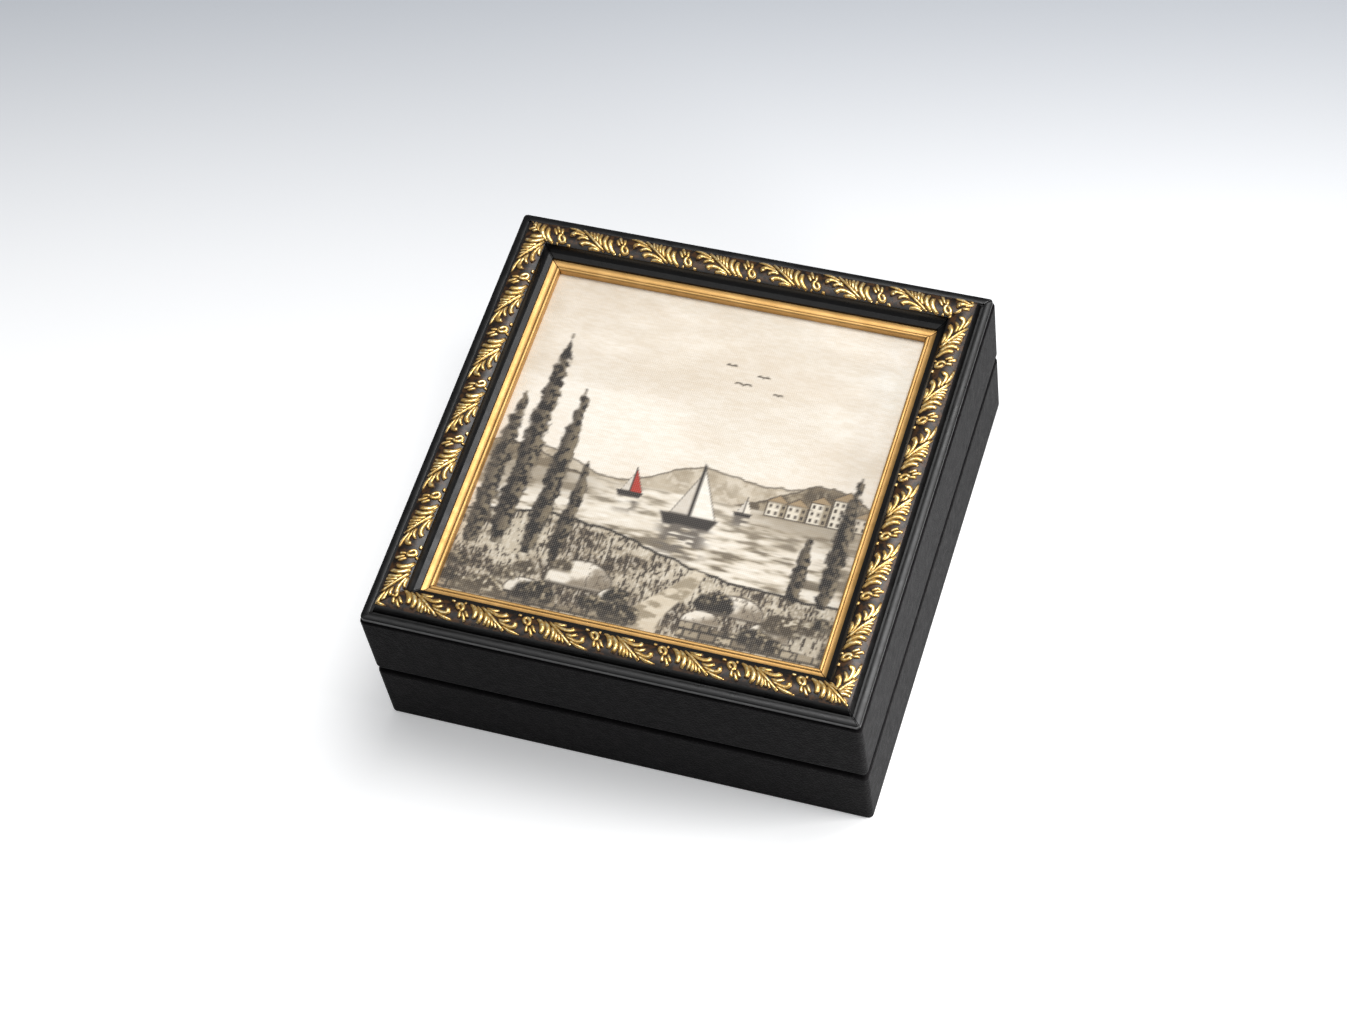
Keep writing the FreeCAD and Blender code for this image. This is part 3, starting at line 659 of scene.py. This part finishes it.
def paint_bay(x, y):
    """A bay with hills, houses, cypresses and sailing boats in sepia and charcoal, at
    places given in millimetres from the picture's middle."""
    canvas = Canvas(x, y, "#fdf4e7")
    canvas.lay(edge(canvas.noise(38, 1, 4, stretch=1.7) - 0.5, 0.22) * 0.7, "#f3e8d8")
    canvas.lay(edge(canvas.noise(20, 11, 4, stretch=2.2) - 0.6, 0.12) * 0.7, "#fffaf0")
    canvas.lay(edge(canvas.noise(26, 21, 4, stretch=2.4) - 0.58, 0.12)
               * edge(y - 10, 40) * 0.5, "#dbccb8")
    for middle, height, span in ((12, 41, 3.4), (19, 46, 2.6), (5, 49, 2.2), (27, 39, 2.0)):
        wing = abs(x - middle) / span
        line = height + span * (0.7 * wing - 0.6 * wing**2)
        canvas.lay(edge(0.35 - abs(y - line), 0.25) * edge(1 - wing, 0.2), INK)
    sea, shore = -14.0, -48.0
    hills(canvas, lambda a: sea + 9 + 5 * numpy.sin(a / 21) + 3 * numpy.sin(a / 9 + 1), sea,
          ("#cabda8", "#b0a28c", "#ddd1be"), 31, 3.0)
    hills(canvas, lambda a: sea - 3 + 19 * numpy.exp(-(((a - 60) / 27) ** 2))
          + 12 * numpy.exp(-(((a + 70) / 26) ** 2)), sea, ("#82745f", "#5a4f40", "#b5a78f"),
          47, 4.5)
    water = edge(sea - y, 0.5)
    canvas.lay(water, "#efe5d5")
    swell = patches(x / 5.0, y, 2.2, 61, 3)
    depth = edge(sea - 8 - y, 22)
    canvas.lay(water * edge(swell - 0.56, 0.1) * (0.3 + 0.5 * depth), "#a39680")
    canvas.lay(water * edge(swell - 0.66, 0.07) * (0.2 + 0.45 * depth), "#5c5142")
    canvas.lay(water * edge(0.36 - swell, 0.08) * 0.8, "#faf3e6")
    canvas.lay(edge(y - sea + 9, 6) * water * edge(abs(x) - 34, 16) * 0.6, "#80725d")
    for left, width, height in ((37.5, 7.5, 6.5), (62.5, 10.0, 12.7), (54.0, 7.5, 9.6),
                                (45.5, 7.5, 6.5), (72.5, 7.5, 6.5)):
        house(canvas, left, sea - 1.2, width, height)
    boat(canvas, 9, -27, 17, "#fbf5ea")
    boat(canvas, -17, -19, 8, "#b5392b")
    boat(canvas, 29, -18, 5.5, "#f3eadb")
    rough = 3.0 * (patches(x, 0 * y, 6, 71, 4) - 0.5)
    bank = (shore + 7 * numpy.sin(x / 30 + 2.4) + 10 * edge(-x - 20, 50)
            + 5 * edge(x - 30, 30) + rough)
    land = edge(bank - y, 0.6)
    canvas.lay(land, "#cbbfaa")
    soil = canvas.noise(9, 81, 4, stretch=2.2)
    canvas.lay(land * edge(soil - 0.5, 0.14) * 0.8, "#8d7f6a")
    canvas.lay(land * edge(soil - 0.62, 0.1) * 0.7, "#5a4e40")
    grass = canvas.noise(1.9, 91, 3, stretch=0.34)
    canvas.lay(land * edge(grass + 0.5 * soil - 0.82, 0.07) * 0.9, UMBER)
    canvas.lay(land * edge(0.36 - grass, 0.06) * 0.55, "#efe6d6")
    canvas.lay(edge(0.5 - abs(bank - y), 0.4), SOOT)
    turn = x - 12 - 9 * numpy.sin((y + 60) / 11)
    path = land * edge(2.6 + (bank - y) * 0.17 - abs(turn), 0.8)
    canvas.lay(path, "#ddd0ba")
    canvas.lay(path * edge(canvas.noise(2.4, 88, 4, stretch=2.2) - 0.52, 0.1), STONE)
    for middle, foot, width, height, seed in (
            (-24, -62, 13, 10, 301), (39, -61, 11, 8, 313), (-8, -66, 7, 5.5, 307),
            (27, -67, 7, 5, 317), (54, -68, 8, 6, 331), (-44, -70, 8, 6, 337)):
        rock(canvas, middle, foot, width, height, seed)
    stone_wall(canvas, lambda a: -71 + 2 * numpy.sin(a / 17) - 30 * edge(9 - abs(a - 10), 1), 7)
    for middle, foot, height, width, seed in (
            (-62, -50, 98, 12, 101), (-48, -52, 76, 10.5, 113), (-72, -52, 70, 11, 127),
            (-37, -54, 46, 8.5, 139), (70, -50, 58, 10, 151), (58, -52, 30, 8, 163)):
        cypress(canvas, middle, foot, height, width, seed)
    clumps = numpy.random.default_rng(5)
    for number in range(26):
        middle = -78 + 6.3 * number + clumps.uniform(-2, 2)
        foot = -56 - clumps.uniform(0, 17)
        dark = clumps.uniform() < 0.6
        radius = clumps.uniform(4.5, 8.5)
        if all(abs(middle - place) > room for place, room in ((14, 11), (-24, 8), (40, 7))):
            bush(canvas, middle, foot, radius, 200 + 7 * number, DARK_BUSH if dark else PALE_BUSH)
    rim = numpy.maximum(abs(x), abs(y)) - 72
    canvas.lay(edge(rim + 4 * (canvas.noise(8, 97, 3) - 0.5), 5) * 0.2, "#b5a994")
    return linear(numpy.clip(canvas.colours, 0, 1))


def picture(sizes, finish):
    """The painted canvas: a thin closed sheet that lies on its board."""
    made = bmesh.new()
    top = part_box("picture_canvas")[1].z
    bmesh.ops.create_grid(made, x_segments=sizes.canvas_cells, y_segments=sizes.canvas_cells,
                          size=sizes.canvas_side / 2)
    bmesh.ops.translate(made, verts=made.verts, vec=(0, 0, top))
    rim = [e for e in made.edges if e.is_boundary]
    walls = bmesh.ops.extrude_edge_only(made, edges=rim)["geom"]
    foot = [v for v in walls if isinstance(v, bmesh.types.BMVert)]
    bmesh.ops.translate(made, verts=foot, vec=(0, 0, -sizes.canvas_thick))
    bmesh.ops.edgeloop_fill(made, edges=[e for e in made.edges if e.is_boundary])
    bmesh.ops.recalc_face_normals(made, faces=made.faces)
    piece = new_piece("picture_painted", made, "lid", finish)
    places = numpy.empty(len(piece.data.vertices) * 3)
    piece.data.vertices.foreach_get("co", places)
    places = places.reshape(-1, 3) / MM
    colours = numpy.ones((len(places), 4))
    colours[:, :3] = paint_bay(places[:, 0], places[:, 1])
    paint = piece.data.color_attributes.new(name="paint", type="FLOAT_COLOR", domain="POINT")
    paint.data.foreach_set("color", colours.ravel())
    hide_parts("picture_canvas")
    return piece


# --------------------------------------------------------------------- studio


FLOOR_HALF = 3.0  # metres
FLOOR_TURN = -12.5  # degrees by which its fade is turned from the box
FLOOR_FADE = 0.42  # metres behind the box's middle, where the far tone is reached
FLOOR_LIFT = 0.34  # its own light, for the camera and for reflections
AIR_COLOUR, AIR_STRENGTH = "#e9edf2", 0.22
LAMPS = (  # name, place, aim, side and watts
    ("key_softbox", (0.31, 0.52, 1.5), (0, 0, 0.04), 0.95, 21),
    ("side_softbox", (0.34, -0.065, 0.13), (0.1, -0.09, 0.05), 0.12, 0.95),
    ("top_softbox", (-0.45, 0.1, 1.6), (0, 0, 0.04), 0.8, 3.2),
)


def studio_floor(colours):
    """Seamless white paper: it lightens for the camera and for reflections, keeps the
    box's shadow, and turns to blue-grey far behind the box."""
    made, tree, shader = material("seamless_paper", Roughness=0.9)
    place = add(tree, "Mapping", {"Vector": add(tree, "TexCoord").outputs["Object"],
                                  "Rotation": (0, 0, math.radians(FLOOR_TURN))}).outputs["Vector"]
    back = add(tree, "SeparateXYZ", {0: place}).outputs["Y"]
    tone = mix(tree, ramp(tree, back, 0.0, FLOOR_FADE), colours.floor, colours.far_floor)
    link(tree, shader, "Base Color", tone)
    rays = add(tree, "LightPath").outputs
    seen = add(tree, "Math", {0: rays["Is Camera Ray"], 1: rays["Is Glossy Ray"]},
               operation="ADD").outputs[0]
    seen = add(tree, "Math", {0: seen, 1: rays["Is Transmission Ray"]}, operation="ADD").outputs[0]
    lift = add(tree, "Math", {0: seen, 1: FLOOR_LIFT}, operation="MULTIPLY").outputs[0]
    link(tree, shader, "Emission Color", tone)
    link(tree, shader, "Emission Strength", lift)
    return made


def lamp(name, place, aim, size, watts):
    """A square soft box at a place, facing a point."""
    data = bpy.data.lights.new(name, "AREA")
    data.shape, data.size, data.energy = "SQUARE", size, watts
    made = bpy.data.objects.new(name, data)
    bpy.context.scene.collection.objects.link(made)
    made.location = place
    made.rotation_mode = "QUATERNION"
    made.rotation_quaternion = (Vector(aim) - Vector(place)).to_track_quat("-Z", "Y")


class SWEETBOX_OT_covers(bpy.types.Operator):
    """Leatherette on the walls, felt below, paper and board inside"""

    bl_idname = "sweetbox.covers"
    bl_label = "Cover the box"

    def execute(self, context):
        sizes, colours = context.scene.sweetbox_sizes, context.scene.sweetbox_colours
        turned_in = ["lid_%s_board" % side for side in SIDES]  # their inner faces show
        dress(["base_cover", "lid_cover", *turned_in], leatherette(sizes, colours))
        dress(("base_bottom_felt",), wool_felt())
        liners = [name for name in NODES if name.endswith(("_liner", "_card"))]
        dress(liners, lining_paper(colours))
        boards = [name for name in NODES
                  if name.endswith(("_board", "_panel")) and name not in turned_in]
        dress(boards, grey_board())
        return {"FINISHED"}


class SWEETBOX_OT_hardware(bpy.types.Operator):
    """Brass hinges, steel screws and nails, nickel magnets"""

    bl_idname = "sweetbox.hardware"
    bl_label = "Finish the metalwork"

    def execute(self, context):
        # Turned brass: bright and smooth, so each screw's head stands out of its leaf.
        screws = ("hinge_base_screws", "hinge_lid_screws")
        dress(screws, metal("turned_brass", "#e6c679", "#d2ad5c", 0.2))
        # Brass sheet from the press: warm, with a soft shine that is a little mottled.
        leaves = [name for name in NODES if name.startswith("hinge_") and name not in screws]
        dress(leaves, metal("stamped_brass", "#c9a14e", "#b88f43", 0.3))
        # Drawn steel: plain grey, dulled by the die.
        steel = metal("drawn_steel", "#a8a6a2", "#85827e", 0.32)
        dress(("board_points", "frame_corner_nails"), steel)
        # Nickel plate: pale, and close to a mirror.
        dress(("base_magnets", "lid_magnets"), metal("nickel_plate", "#cfcbc4", "#b5b1aa", 0.18))
        return {"FINISHED"}


class SWEETBOX_OT_frame(bpy.types.Operator):
    """Lacquer on the moulding, leaf on the slip, ornament on each rail"""

    bl_idname = "sweetbox.frame"
    bl_label = "Finish the frame"

    def execute(self, context):
        sizes, colours = context.scene.sweetbox_sizes, context.scene.sweetbox_colours
        dress(["frame_%s_rail" % side for side in SIDES], lacquer(colours))
        dress(["gilt_%s_slip" % side for side in SIDES], leaf_gilding(colours))
        gilding = bronze_gilding(colours)
        for side in SIDES:
            ornament(side, sizes, gilding)
        return {"FINISHED"}


class SWEETBOX_OT_picture(bpy.types.Operator):
    """The painted canvas"""

    bl_idname = "sweetbox.picture"
    bl_label = "Paint the picture"

    def execute(self, context):
        sizes = context.scene.sweetbox_sizes
        picture(sizes, primed_canvas(sizes))
        return {"FINISHED"}


class SWEETBOX_OT_stage(bpy.types.Operator):
    """Floor, soft lights, world and camera"""

    bl_idname = "sweetbox.stage"
    bl_label = "Set the studio"

    def execute(self, context):
        scene = context.scene
        paper = bmesh.new()
        bmesh.ops.create_grid(paper, x_segments=1, y_segments=1, size=FLOOR_HALF)
        data = bpy.data.meshes.new("studio_floor")
        paper.to_mesh(data)
        paper.free()
        floor = bpy.data.objects.new("studio_floor", data)
        scene.collection.objects.link(floor)
        data.materials.append(studio_floor(scene.sweetbox_colours))
        for row in LAMPS:
            lamp(*row)
        scene.world = bpy.data.worlds.new("studio_air")
        scene.world.use_nodes = True
        air = scene.world.node_tree.nodes["Background"]
        air.inputs["Color"].default_value = paint_of(AIR_COLOUR)
        air.inputs["Strength"].default_value = AIR_STRENGTH
        view = scene.sweetbox_view
        data = bpy.data.cameras.new("camera")
        data.lens, data.sensor_width = view.lens, 36.0
        camera = bpy.data.objects.new("camera", data)
        scene.collection.objects.link(camera)
        back = Vector((math.sin(view.azimuth) * math.cos(view.elevation),
                       -math.cos(view.azimuth) * math.cos(view.elevation),
                       math.sin(view.elevation)))
        camera.location = Vector(view.target) + back * view.distance
        camera.rotation_mode = "QUATERNION"
        level = (-back).to_track_quat("-Z", "Y")
        camera.rotation_quaternion = level @ Quaternion((0, 0, 1), view.roll)
        scene.camera = camera
        scene.view_settings.view_transform = "Standard"
        return {"FINISHED"}


OPERATORS = (SWEETBOX_OT_stage, SWEETBOX_OT_covers, SWEETBOX_OT_hardware, SWEETBOX_OT_frame,
             SWEETBOX_OT_picture)


class SWEETBOX_PT_panel(bpy.types.Panel):
    """The box's operators, sizes and colours"""

    bl_idname = "SWEETBOX_PT_panel"
    bl_label = "Sweet Box"
    bl_space_type = "VIEW_3D"
    bl_region_type = "UI"
    bl_category = "Sweet Box"

    def draw(self, context):
        for operator in OPERATORS:
            self.layout.operator(operator.bl_idname)
        for word in GROUPS:
            group = getattr(context.scene, word)
            for name in group.__annotations__:
                self.layout.prop(group, name)


GROUPS = {"sweetbox_sizes": SweetBoxSizes, "sweetbox_colours": SweetBoxColours,
          "sweetbox_view": SweetBoxView}


def register():
    """Adds the classes and the scene's groups of properties."""
    for cls in (*GROUPS.values(), *OPERATORS, SWEETBOX_PT_panel):
        bpy.utils.register_class(cls)
    for word, group in GROUPS.items():
        setattr(bpy.types.Scene, word, bpy.props.PointerProperty(type=group))


def unregister():
    """Takes away what register added."""
    for word in GROUPS:
        delattr(bpy.types.Scene, word)
    for cls in reversed((*GROUPS.values(), *OPERATORS, SWEETBOX_PT_panel)):
        bpy.utils.unregister_class(cls)


def main():
    register()
    bpy.ops.sweetbox.stage()
    bpy.ops.sweetbox.covers()
    bpy.ops.sweetbox.hardware()
    bpy.ops.sweetbox.frame()
    bpy.ops.sweetbox.picture()
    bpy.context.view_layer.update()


if __name__ == "__main__":
    main()
